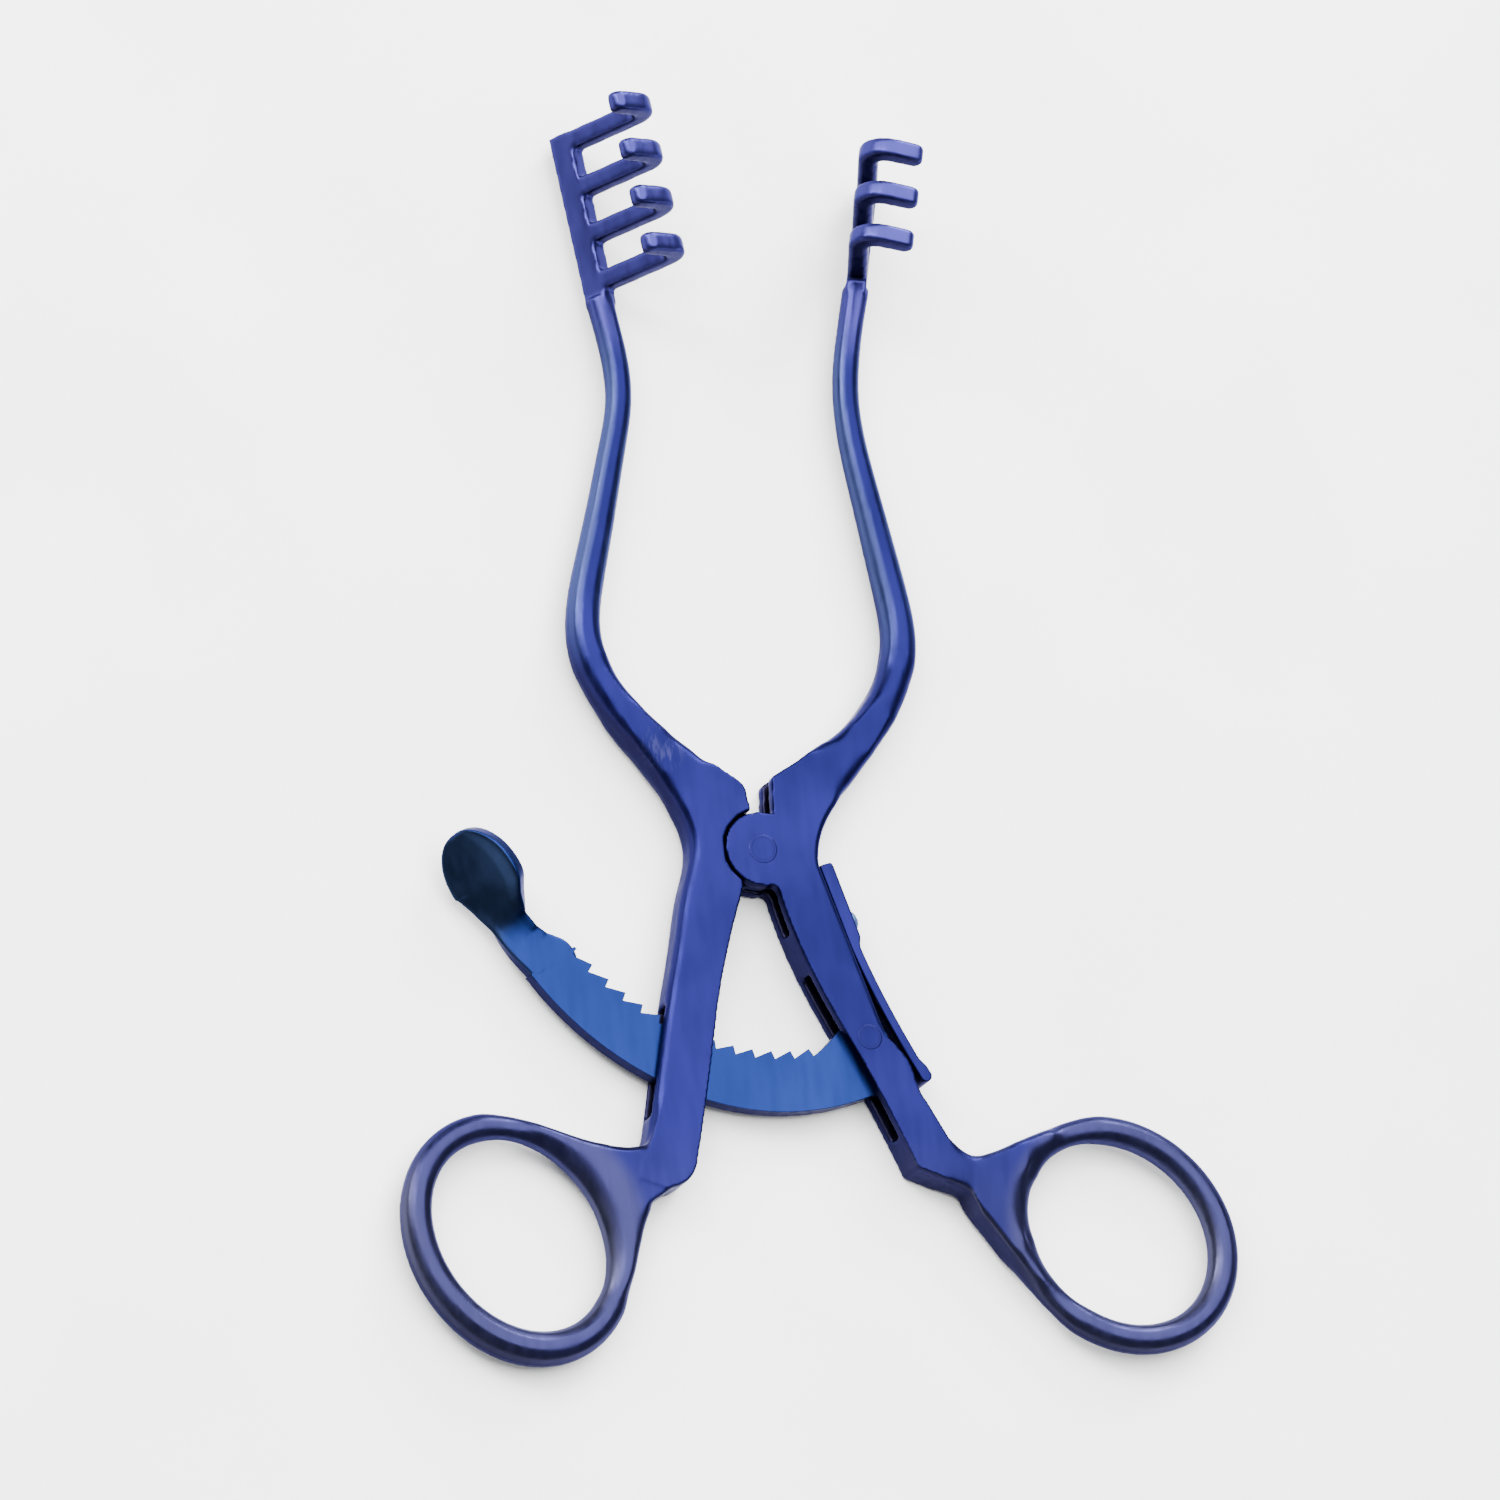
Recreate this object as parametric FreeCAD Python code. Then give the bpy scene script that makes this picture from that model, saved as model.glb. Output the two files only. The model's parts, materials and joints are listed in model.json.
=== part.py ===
import FreeCAD, Part
import math
import os

from FreeCAD import Vector

# Self retaining wound retractor with non-crossing arms, a 4 prong and a 3 prong rake, finger
# rings, and a ratchet bar that a leaf spring presses into the pawl of the left arm.
# Millimetres. It lies on its back: X to the right, Y towards the rakes, Z up, prongs up.
# The origin is on the axis of the lock pin, in the plane of the flat back.

# Lock: the left arm's tongue turns between the two round cheeks of the right arm
arm_thickness = 5.2
tongue_thickness = 1.8
lock_side_clearance = 0.1
cheek_radius = 4.7
cheek_clearance = 0.25
tongue_clearance = 0.3
lock_pin_diameter = 2.8
pin_clearance = 0.05

# Shanks between the lock and the finger rings
left_edge_rounding = 1.4
right_edge_rounding = 0.7

# Ratchet bar, an arc about the lock pin with saw teeth on its inner edge
tooth_pitch = 5.55
tooth_count = 14
first_notch_angle = -9.2
pawl_notch = 6
tooth_tip_radius = 24.85
tooth_depth = 1.0
tooth_lean = 0.9
bar_outer_radius = 32.4
bar_thickness = 2.0
bar_side_clearance = 0.2
bar_opens_from = 20.0
bar_opening_rate = 0.0013
bar_outer_rate = 0.0009
bar_stored_gap = 0.12
ratchet_pin_x = 10.96
ratchet_pin_y = -23.64
ratchet_pin_diameter = 2.3
ratchet_eye_radius = 3.3

# Thumb paddle at the free end of the bar
paddle_length = 12.4
paddle_width = 9.0
paddle_thickness = 1.9
paddle_twist = 52.0
paddle_rim_bevel = 0.5
paddle_lift = 1.3
neck_width = 4.9

# Leaf spring on the outer side of the right arm, and its screw
spring_length = 28.2
spring_width = 3.4
spring_thickness = 1.3
spring_head_thickness = 1.9
spring_seat_length = 9.5
spring_gap = 2.4
spring_tip_diameter = 1.7
screw_distance = 7.4
screw_head_diameter = 3.0
screw_head_height = 0.95
screw_shank_diameter = 1.6
screw_depth = 2.6

# Rakes: each prong leans towards the other rake and ends in a blunt outward hook
left_prong_pitch = 6.2
right_prong_pitch = 5.9
prong_width = 2.4
prong_thickness = 2.5
left_prong_lean = 35.5
right_prong_lean = 19.7
left_prong_height = 11.9
right_prong_height = 12.6
hook_radius = 2.1
hook_turn = 104.0
hook_length = 2.8
spine_depth = 3.1
left_prongs = 4
right_prongs = 3
shoulder_drop = 2.9
shoulder_gap = 1.8

# Finger rings: half length and half width of the hole, and the turn of its long axis
ring_tube_outer = 4.4
ring_tube_inner = 3.4
left_ring_centre = (-35.1, -46.85)
left_ring_hole = (12.1, 9.75, 120.6)
left_ring_neck = (0.45, 0.89)
right_ring_centre = (41.3, -47.85)
right_ring_hole = (12.15, 10.5, 139.2)
right_ring_neck = (-0.3, 0.15)
neck_thickness = 4.9
left_neck_bevel = 0.7
right_neck_bevel = 0.5
ring_stations = 20

mid_height = arm_thickness / 2
bar_low = mid_height - bar_thickness / 2
slot_low = bar_low - bar_side_clearance
slot_height = bar_thickness + 2 * bar_side_clearance
pawl_angle = first_notch_angle + pawl_notch * tooth_pitch


# Plain shapes

def face_from(points, z):
    corners = [Vector(x, y, z) for x, y in points]
    return Part.Face(Part.makePolygon(corners + corners[:1]))


def plate(points, z, height):
    return face_from(points, z).extrude(Vector(0, 0, height))


def disc(x, y, radius, z, height):
    return Part.makeCylinder(radius, height, Vector(x, y, z))


def outline_plate(edges, z, height):
    wire = Part.Wire(Part.__sortEdges__(edges))
    solid = Part.Face(wire).extrude(Vector(0, 0, height))
    solid.translate(Vector(0, 0, z))
    return solid


def smooth_edge(points):
    curve = Part.BSplineCurve()
    curve.interpolate([Vector(x, y, 0) for x, y in points])
    return curve.toShape()


def tangent_edge(points, leaving):
    # smooth curve that leaves its first point in the direction of the line before it
    places = [Vector(x, y, 0) for x, y in points]
    arriving = places[-1] - places[-2]
    curve = Part.BSplineCurve()
    curve.interpolate(Points=places, InitialTangent=Vector(leaving[0], leaving[1], 0),
                      FinalTangent=arriving)
    return curve.toShape()


def line_edge(start, end):
    return Part.makeLine(Vector(start[0], start[1], 0), Vector(end[0], end[1], 0))


def outline(runs, tangent_run=None):
    # each run is a list of points: two make a line, more make one smooth curve
    edges = []
    for number, run in enumerate(runs):
        following = runs[(number + 1) % len(runs)][0]
        points = run + [following]
        if len(points) == 2:
            edges.append(line_edge(points[0], points[1]))
        elif number == tangent_run:
            before = runs[number - 1][-1]
            leaving = (points[0][0] - before[0], points[0][1] - before[1])
            edges.append(tangent_edge(points, leaving))
        else:
            edges.append(smooth_edge(points))
    return edges


def rim_edges(solid, wanted):
    # the flat edges at the front and back whose middle passes the test
    chosen = []
    for edge in solid.Edges:
        middle = edge.valueAt((edge.FirstParameter + edge.LastParameter) / 2)
        if edge.BoundBox.ZLength < 0.001 and wanted(middle.x, middle.y):
            chosen.append(edge)
    return chosen


def soften(solid, radius, wanted):
    return solid.makeFillet(radius, rim_edges(solid, wanted))


def bevel(solid, size, wanted):
    return solid.makeChamfer(size, rim_edges(solid, wanted))


def section_points(centre, along, width, height, fullness, twist=0.0):
    # points round a bar: fullness 2 is an ellipse, 8 is nearly a rectangle
    along = Vector(along).normalize()
    side = Vector(0, 0, 1).cross(along).normalize()
    up = along.cross(side)
    turn = math.radians(twist)
    across = side * math.cos(turn) + up * math.sin(turn)
    upward = up * math.cos(turn) - side * math.sin(turn)
    points = []
    steps = 12
    for step in range(steps):
        angle = 2 * math.pi * (step + 0.5) / steps
        c = math.copysign(abs(math.cos(angle)) ** (2 / fullness), math.cos(angle))
        s = math.copysign(abs(math.sin(angle)) ** (2 / fullness), math.sin(angle))
        points.append(Vector(centre) + across * (c * width / 2) + upward * (s * height / 2))
    return points


def bar_section(centre, along, width, height, fullness, twist=0.0):
    points = section_points(centre, along, width, height, fullness, twist)
    return Part.makePolygon(points + points[:1])


def lofted_bar(stations):
    # stations hold x, y, width, height and fullness, and the bar lies at mid height
    sections = []
    last = len(stations) - 1
    for number, (x, y, width, height, fullness) in enumerate(stations):
        before = stations[max(number - 1, 0)]
        after = stations[min(number + 1, last)]
        along = Vector(after[0] - before[0], after[1] - before[1], 0)
        centre = Vector(x, y, mid_height)
        sections.append(bar_section(centre, along, width, height, fullness))
    return Part.makeLoft(sections, True, False)


def beside_hole(centre, hole, offset, span):
    # points at a distance outside an oval hole, over a span of its own angle
    points = []
    for step in range(8):
        angle = math.radians(span[0] + (span[1] - span[0]) * step / 7)
        place, out = hole_rim(centre, hole, angle)
        place = place + out * offset
        points.append((place.x, place.y))
    return points


def hole_rim(centre, hole, angle):
    # a point on the rim of an oval hole, and the direction out of the hole there
    long_half, short_half, turn = hole
    place = Vector(long_half * math.cos(angle), short_half * math.sin(angle), 0)
    out = Vector(math.cos(angle) / long_half, math.sin(angle) / short_half, 0).normalize()
    spin = FreeCAD.Rotation(Vector(0, 0, 1), turn)
    return Vector(centre[0], centre[1], 0) + spin.multVec(place), spin.multVec(out)


def polar(radius, angle):
    # angle in degrees from straight down, growing towards the left arm
    turn = math.radians(angle)
    return (-radius * math.sin(turn), -radius * math.cos(turn))


# Finger ring: round sections set just outside an oval hole, thicker away from the neck

def finger_ring(centre, hole, neck):
    stations = ring_stations
    sections = []
    for number in range(stations // 2 + 1):
        sections.append(2 * math.pi * number / stations)
    halves = []
    for start in (0.0, math.pi):
        wires = []
        for angle in sections:
            wires.append(ring_section(centre, hole, neck, start + angle))
        halves.append(Part.makeLoft(wires, True, False))
    return halves[0].fuse(halves[1])


def ring_section(centre, hole, neck, angle):
    rim, out = hole_rim(centre, hole, angle)
    grow = (0.5 - 0.5 * (out.x * neck[0] + out.y * neck[1])) ** 2
    diameter = ring_tube_inner + (ring_tube_outer - ring_tube_inner) * grow
    place = rim + out * (diameter / 2) + Vector(0, 0, mid_height)
    along = Vector(0, 0, 1).cross(out)
    return bar_section(place, along, diameter, diameter, 2)


# Rake: one profile across the prong, extruded to each prong's width and along the spine

def prong_profile(full, prong_lean, height):
    # local x points away from the other rake, z up; the prong leans the other way
    lean = math.radians(prong_lean)
    rise = Vector(-math.sin(lean), 0, math.cos(lean))
    out = Vector(math.cos(lean), 0, math.sin(lean))
    half = prong_thickness / 2
    foot = Vector(0, 0, 0)
    if not full:
        top = foot + rise * spine_depth
        corners = [foot - out * half, foot + out * half, top + out * half, top - out * half]
        return Part.Face(Part.makePolygon(corners + corners[:1]))
    straight = (height - hook_radius) / math.cos(lean)
    bend = foot + rise * straight
    centre = bend + out * (hook_radius + half * 0.2)
    reach = (centre - bend).Length

    def around(radius, angle):
        # direction from the bend's centre, starting on the prong and turning outwards
        turn = math.radians(angle)
        return centre - out * (radius * math.cos(turn)) + rise * (radius * math.sin(turn))

    inner = reach - half
    outer = reach + half
    end_turn = math.radians(hook_turn)
    heading = rise * math.cos(end_turn) + out * math.sin(end_turn)
    tip_inner = around(inner, hook_turn) + heading * hook_length
    tip_outer = around(outer * 0.97, hook_turn) + heading * hook_length
    nose = (tip_inner + tip_outer) * 0.5 + heading * (prong_thickness * 0.45)
    edges = [
        Part.makeLine(foot + out * half, foot - out * half),
        Part.makeLine(foot - out * half, around(outer, 0)),
        Part.Arc(around(outer, 0), around(outer, hook_turn / 2), around(outer, hook_turn)).toShape(),
        Part.makeLine(around(outer, hook_turn), tip_outer),
        Part.Arc(tip_outer, nose, tip_inner).toShape(),
        Part.makeLine(tip_inner, around(inner, hook_turn)),
        Part.Arc(around(inner, hook_turn), around(inner, hook_turn / 2), around(inner, 0)).toShape(),
        Part.makeLine(around(inner, 0), foot + out * half),
    ]
    return Part.Face(Part.Wire(edges))


def rake(count, side, foot, direction, pitch, lean, height):
    # side is +1 for the right rake and -1 for the left, the foot is the lowest prong's
    pieces = []
    spine_end = (count - 1) * pitch + prong_width / 2
    spine = prong_profile(False, lean, height).extrude(Vector(0, spine_end + shoulder_drop, 0))
    spine.translate(Vector(0, -shoulder_drop, 0))
    pieces.append(spine)
    for number in range(count):
        prong = prong_profile(True, lean, height).extrude(Vector(0, prong_width, 0))
        prong.translate(Vector(0, number * pitch - prong_width / 2, 0))
        rounded = [edge for edge in prong.Edges if edge.BoundBox.YLength < 0.001
                   and edge.BoundBox.ZMin > spine_depth + 1]
        pieces.append(prong.makeChamfer(0.3, rounded))
    comb = pieces[0].multiFuse(pieces[1:]).removeSplitter()
    if side < 0:
        comb = comb.mirror(Vector(0, 0, 0), Vector(1, 0, 0))
    comb.translate(Vector(foot[0], foot[1], prong_thickness / 2))
    comb.rotate(Vector(foot[0], foot[1], 0), Vector(0, 0, 1), -direction)
    return comb


# Where the rakes stand: the lowest prong's foot, and the lean of the spine from straight up

left_spine_direction = -6.6
right_spine_direction = 13.0
left_foot = (-13.2, 73.45)
right_foot = (22.85, 75.75)


# Left arm: tongue, shank with the bar's slot and pawl edge, ring, shaft and 4 prong rake

left_shaft = [
    (left_foot[0] + 0.9, left_foot[1] - shoulder_gap, 3.4, 3.4, 2.4),
    (left_foot[0] + 1.25, left_foot[1] - shoulder_gap - 2.2, 3.35, 3.4, 2.3),
    (-11.35, 65.5, 3.2, 3.3, 2.1),
    (-11.2, 58.4, 3.05, 3.2, 2.0),
    (-12.78, 51.9, 3.15, 3.3, 2.0),
    (-14.65, 45.3, 3.4, 3.6, 2.0),
    (-16.58, 38.8, 3.7, 3.9, 2.0),
    (-18.43, 32.4, 3.95, 4.2, 2.0),
    (-19.05, 27.2, 4.05, 4.6, 2.2),
    (-17.87, 22.1, 4.2, 5.0, 2.6),
    (-15.1, 17.3, 4.3, 5.14, 3.6),
    (-11.7, 13.3, 5.1, 5.14, 5.0),
    (-8.4, 9.9, 6.0, 5.1, 7.0),
]

left_shank = [
    [(-13.3, 11.4)],
    [(-9.4, 13.2)],
    [(-5.2, 11.0)],
    [(-1.96, 8.66), (-1.5, 8.2)],
    [(-1.2, 7.3)],
    [(-0.9, 4.6)],
    [(-2.9, -4.3)],
    [(-3.3, -5.7), (-5.9, -12.75), (-7.75, -18.97), (-9.2, -25.15), (-10.7, -31.31)],
    [(-12.3, -37.43)],
    [(-12.8, -39.25), (-13.5, -40.47)],
    [(-16.9, -41.9)],
    [(-20.3, -40.7)],
    [(-18.4, -36.2), (-16.8, -29.6), (-13.7, -17.2), (-12.0, -11.0), (-10.35, -4.7),
     (-8.85, 0.4), (-9.3, 3.8), (-11.2, 7.7)],
]

# ground flat that runs up the root of the shaft
left_flat = [
    [(-12.2, 9.5), (-14.4, 13.3), (-16.5, 17.7)],
    [(-18.2, 22.4)],
    [(-17.5, 22.7), (-14.3, 18.5), (-11.6, 15.3)],
    [(-8.6, 12.7)],
    [(-7.6, 10.0)],
]

left_neck = [
    [(-16.2, -36.0)],
    [(-16.0, -41.8)],
    [(-18.5, -43.3), (-19.3, -45.3), (-20.5, -48.9), (-21.3, -51.7)],
    beside_hole(left_ring_centre, left_ring_hole, ring_tube_inner / 2, (-157, -45)),
    [(-33.1, -33.0), (-31.4, -33.55), (-27.9, -34.75), (-24.8, -35.95), (-22.0, -36.6)],
    [(-19.7, -36.6)],
]


def bar_widening(angle, rate=bar_opening_rate):
    # the bar follows a circle about the lock pin, then opens outwards past the working teeth
    return rate * max(angle - bar_opens_from, 0.0) ** 2


def make_left_arm():
    body = outline_plate(outline(left_shank), 0, arm_thickness)
    body = soften(body, left_edge_rounding, lambda x, y: x < -8.5 and -33 < y < 12)
    neck_low = mid_height - neck_thickness / 2
    neck = outline_plate(outline(left_neck), neck_low, neck_thickness)
    neck = bevel(neck, left_neck_bevel, lambda x, y: x < -20)
    flat = outline_plate(outline(left_flat), 0, arm_thickness)
    shaft = lofted_bar(left_shaft)
    ring = finger_ring(left_ring_centre, left_ring_hole, left_ring_neck)
    comb = rake(left_prongs, -1, left_foot, left_spine_direction, left_prong_pitch,
                left_prong_lean, left_prong_height)
    for part_of_slot in lock_recess():
        body = body.cut(part_of_slot)
    tongue_low = mid_height - tongue_thickness / 2
    tongue = disc(0, 0, cheek_radius - tongue_clearance, tongue_low, tongue_thickness)
    root = plate([(-6.5, 4.6), (-1.3, 4.4), (0, 4.0), (-1.0, -4.0), (-3.1, -4.5), (-7.0, -5.0)],
                 tongue_low, tongue_thickness)
    arm = body.fuse(flat).fuse(shaft).fuse(comb).fuse(neck).fuse(ring).fuse(tongue).fuse(root)
    hole = disc(0, 0, lock_pin_diameter / 2 + pin_clearance, -1, arm_thickness + 2)
    return arm.cut(hole).cut(bar_slot_left()).removeSplitter()


def lock_recess():
    # room for the front and back cheeks, all round the pin
    reach = cheek_radius + cheek_clearance
    return [disc(0, 0, reach, -1, arm_thickness + 2)]


def bar_slot_left():
    # slot across the shank, from the pawl edge down to where the released bar swings
    high = tooth_tip_radius - bar_stored_gap - tooth_depth
    low = bar_outer_radius + 5.4
    apex = polar(tooth_tip_radius - bar_stored_gap, pawl_angle)
    shape = [polar(high, pawl_angle - 14), polar(high, pawl_angle - 0.9 * tooth_pitch), apex]
    for radius, angle in ((high, pawl_angle + tooth_lean), (high, pawl_angle + 14),
                          (low, pawl_angle + 12), (low, pawl_angle - 12)):
        shape.append(polar(radius, angle))
    return plate(shape, slot_low, slot_height)


# Right arm: two cheeks, long slot for the bar, boss, ring, shaft and 3 prong rake

right_shaft = [
    (right_foot[0] - 0.95, right_foot[1] - shoulder_gap, 3.3, 3.4, 2.4),
    (right_foot[0] - 1.55, right_foot[1] - shoulder_gap - 2.2, 3.25, 3.35, 2.3),
    (19.8, 65.9, 3.15, 3.25, 2.1),
    (18.8, 59.2, 3.1, 3.2, 2.0),
    (19.0, 52.6, 3.3, 3.4, 2.0),
    (19.86, 46.1, 3.55, 3.7, 2.0),
    (20.79, 39.5, 3.85, 4.0, 2.0),
    (21.65, 33.0, 4.1, 4.3, 2.0),
    (21.87, 27.8, 4.15, 4.65, 2.2),
    (20.57, 22.6, 4.3, 5.0, 2.6),
    (17.8, 17.9, 4.35, 5.14, 3.6),
    (13.9, 13.6, 5.1, 5.14, 5.0),
    (9.8, 9.7, 6.0, 5.1, 7.0),
]

right_shank = [
    [(10.0, 14.2)],
    [(5.84, 11.26)],
    [(2.6, 9.4), (2.25, 9.0)],
    [(2.15, 8.2)],
    [(1.9, 4.3)],
    [(0.9, -4.61)],
    [(1.5, -5.0), (3.91, -13.76), (6.58, -20.15), (9.29, -25.73), (12.3, -32.5)],
    [(15.2, -39.9)],
    [(18.33, -41.0)],
    [(7.34, -2.31), (7.35, -0.42), (7.9, 1.67), (9.25, 4.28), (11.7, 7.4)],
    [(14.2, 10.3)],
]

# boss beside the spring's tip, and the flare below it
right_boss = [
    [(12.4, -22.2)],
    [(13.4, -30.0)],
    [(15.2, -39.9)],
    [(20.8, -42.2)],
    [(22.6, -38.2)],
    [(19.84, -36.43)],
    [(16.8, -30.5)],
    [(16.2, -28.6), (15.4, -26.1), (14.5, -24.9)],
    [(13.45, -23.85)],
]

right_flat = [
    [(11.4, 7.6), (13.9, 10.7), (17.0, 14.6), (19.4, 18.6)],
    [(21.0, 23.1)],
    [(20.3, 23.4), (17.2, 19.6), (13.4, 15.6)],
    [(10.0, 13.1)],
    [(8.2, 10.4)],
]

right_neck = [
    [(18.2, -36.6)],
    [(17.4, -40.8)],
    [(21.8, -42.6)],
    [(23.0, -45.5), (24.7, -47.9), (27.3, -51.8), (28.7, -53.6)],
    beside_hole(right_ring_centre, right_ring_hole, ring_tube_inner / 2, (78, -20)),
    [(33.3, -34.75), (30.6, -35.75), (26.43, -37.5), (22.6, -38.2)],
    [(19.84, -36.7)],
]


def make_right_arm():
    hollow = len(right_shank) - 2
    body = outline_plate(outline(right_shank, hollow), 0, arm_thickness)
    body = soften(body, right_edge_rounding, lambda x, y: 7 < x < 13 and -20 < y < 11)
    neck_low = mid_height - neck_thickness / 2
    neck = outline_plate(outline(right_neck), neck_low, neck_thickness)
    neck = bevel(neck, right_neck_bevel, lambda x, y: x > 23)
    flat = outline_plate(outline(right_flat), 0, arm_thickness)
    boss = outline_plate(outline(right_boss), 0, arm_thickness)
    shaft = lofted_bar(right_shaft)
    ring = finger_ring(right_ring_centre, right_ring_hole, right_ring_neck)
    comb = rake(right_prongs, 1, right_foot, right_spine_direction, right_prong_pitch,
                right_prong_lean, right_prong_height)
    cheeks = disc(0, 0, cheek_radius, 0, arm_thickness)
    arm = body.fuse(flat).fuse(shaft).fuse(comb).fuse(boss).fuse(neck).fuse(ring).fuse(cheeks)
    slot_depth = tongue_thickness + 2 * lock_side_clearance
    slot_base = mid_height - slot_depth / 2
    tongue_room = plate([(-6, 9.8), (4.6, 9.8), (4.9, 0), (4.9, -6.2), (4.4, -9.6),
                         (2.2, -10.6), (-6, -10.6)], slot_base, slot_depth)
    pin_hole = disc(0, 0, lock_pin_diameter / 2 + pin_clearance, -1, arm_thickness + 2)
    bar_pin_hole = disc(ratchet_pin_x, ratchet_pin_y, ratchet_pin_diameter / 2 + pin_clearance,
                        -1, arm_thickness + 2)
    arm = arm.cut(tongue_room).cut(pin_hole).cut(bar_pin_hole).cut(bar_slot_right())
    return arm.cut(screw_hole()).removeSplitter()


def bar_slot_right():
    shape = [(3.0, -15.6), (6.2, -15.2), (10.4, -17.4), (14.6, -20.4), (20.0, -25.0),
             (20.0, -31.4), (15.6, -31.6), (15.0, -35.4), (11.6, -36.6)]
    return plate(shape, slot_low, slot_height)


# Line of the right shank's outer wall, which the spring lies on

wall_start = Vector(7.5, -2.31, 0)
wall_end = Vector(13.5, -24.0, 0)
wall_along = (wall_end - wall_start).normalize()
wall_out = Vector(-wall_along.y, wall_along.x, 0)
spring_low = mid_height - spring_width / 2
spring_top = wall_start - wall_along * 0.5


def spring_gap_at(distance):
    # the leaf stands off the wall more and more past its seat
    free = max(distance - spring_seat_length, 0.0) / (spring_length - spring_seat_length)
    return spring_gap * free ** 1.6


def spring_point(distance, offset):
    place = spring_top + wall_along * distance + wall_out * (spring_gap_at(distance) + offset)
    return (place.x, place.y)


def make_spring():
    steps = 8
    free = spring_length - spring_seat_length
    distances = [spring_seat_length + free * step / steps for step in range(steps + 1)]
    inner = [spring_point(d, 0) for d in distances]
    outer = [spring_point(d, spring_thickness) for d in reversed(distances[1:])]
    runs = [
        [spring_point(0, 0)],
        inner,
        outer,
        [spring_point(spring_seat_length + 1.6, spring_thickness)],
        [spring_point(spring_seat_length, spring_head_thickness)],
        [spring_point(0.7, spring_head_thickness),
         spring_point(0.2, spring_head_thickness * 0.75)],
    ]
    leaf = outline_plate(outline(runs), spring_low, spring_width)
    tip = spring_point(spring_length, spring_tip_diameter / 2)
    bead = disc(tip[0], tip[1], spring_tip_diameter / 2, spring_low, spring_width)
    leaf = leaf.fuse(bead)
    return leaf.cut(screw_hole()).removeSplitter()


def screw_axis():
    seat = spring_top + wall_along * screw_distance
    return Vector(seat.x, seat.y, mid_height)


def screw_hole():
    start = screw_axis() + wall_out * (spring_head_thickness + 1)
    length = spring_head_thickness + 1 + screw_depth + 0.1
    return Part.makeCylinder(screw_shank_diameter / 2 + pin_clearance, length, start, wall_out * -1)


def make_screw():
    seat = screw_axis() + wall_out * spring_head_thickness
    shank = Part.makeCylinder(screw_shank_diameter / 2, spring_head_thickness + screw_depth,
                              seat, wall_out * -1)
    half = screw_head_diameter / 2
    radius = (half ** 2 + screw_head_height ** 2) / (2 * screw_head_height)
    dome = Part.makeSphere(radius, seat + wall_out * (screw_head_height - radius))
    keep = Part.makeCylinder(half, screw_head_height, seat, wall_out)
    slot = Part.makeBox(screw_head_diameter + 1, 0.5, 0.6)
    slot.translate(Vector(-(screw_head_diameter + 1) / 2, -0.25, 0))
    turn = FreeCAD.Rotation(Vector(0, 0, 1), wall_out)
    slot.Placement = FreeCAD.Placement(seat + wall_out * (screw_head_height - 0.4), turn).multiply(
        slot.Placement)
    return dome.common(keep).cut(slot).fuse(shank).removeSplitter()


# Ratchet bar

def tooth_points():
    # from the free end to the pin: notch, then the steep face of the tip beside it
    points = []
    for number in range(tooth_count - 1, -1, -1):
        angle = first_notch_angle + number * tooth_pitch
        tip = tooth_tip_radius + bar_widening(angle)
        points.append(polar(tip, angle + tooth_lean))
        points.append(polar(tip + tooth_depth, angle))
    return points


def make_bar():
    end_angle = first_notch_angle + (tooth_count - 1) * tooth_pitch + tooth_pitch * 0.9
    teeth = tooth_points()
    flank_angle = first_notch_angle - tooth_pitch * 0.85
    inner_end = polar(tooth_tip_radius, flank_angle)
    eye = math.radians(118)
    eye_top = (ratchet_pin_x + ratchet_eye_radius * math.cos(eye),
               ratchet_pin_y + ratchet_eye_radius * math.sin(eye))
    steps = 7
    outer = []
    for step in range(steps + 1):
        angle = -20 + (end_angle + 20) * step / steps
        outer.append(polar(bar_outer_radius + bar_widening(angle, bar_outer_rate), angle))
    tail = spring_point(spring_length - 0.8, -0.25)
    tail_low = (tail[0] - 0.25, tail[1] - 1.1)
    tail_high = (tail[0] - 0.45, tail[1] + 1.1)
    free_end = polar(tooth_tip_radius + bar_widening(end_angle) + 0.5, end_angle)
    runs = [[point] for point in [free_end] + teeth]
    runs += [[inner_end], [(8.2, -22.0)]]
    runs += [[eye_top, (ratchet_pin_x + 1.2, ratchet_pin_y + 3.05), (13.4, -22.0)]]
    runs += [[(14.3, -24.4), tail_high], [tail_low, (14.4, -29.9)]]
    runs += [outer[:-1], [outer[-1]]]
    strip = outline_plate(outline(runs), bar_low, bar_thickness)
    hole = disc(ratchet_pin_x, ratchet_pin_y, ratchet_pin_diameter / 2 + pin_clearance,
                -1, arm_thickness + 2)
    return strip.fuse(make_paddle(end_angle)).cut(hole).removeSplitter()


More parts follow.
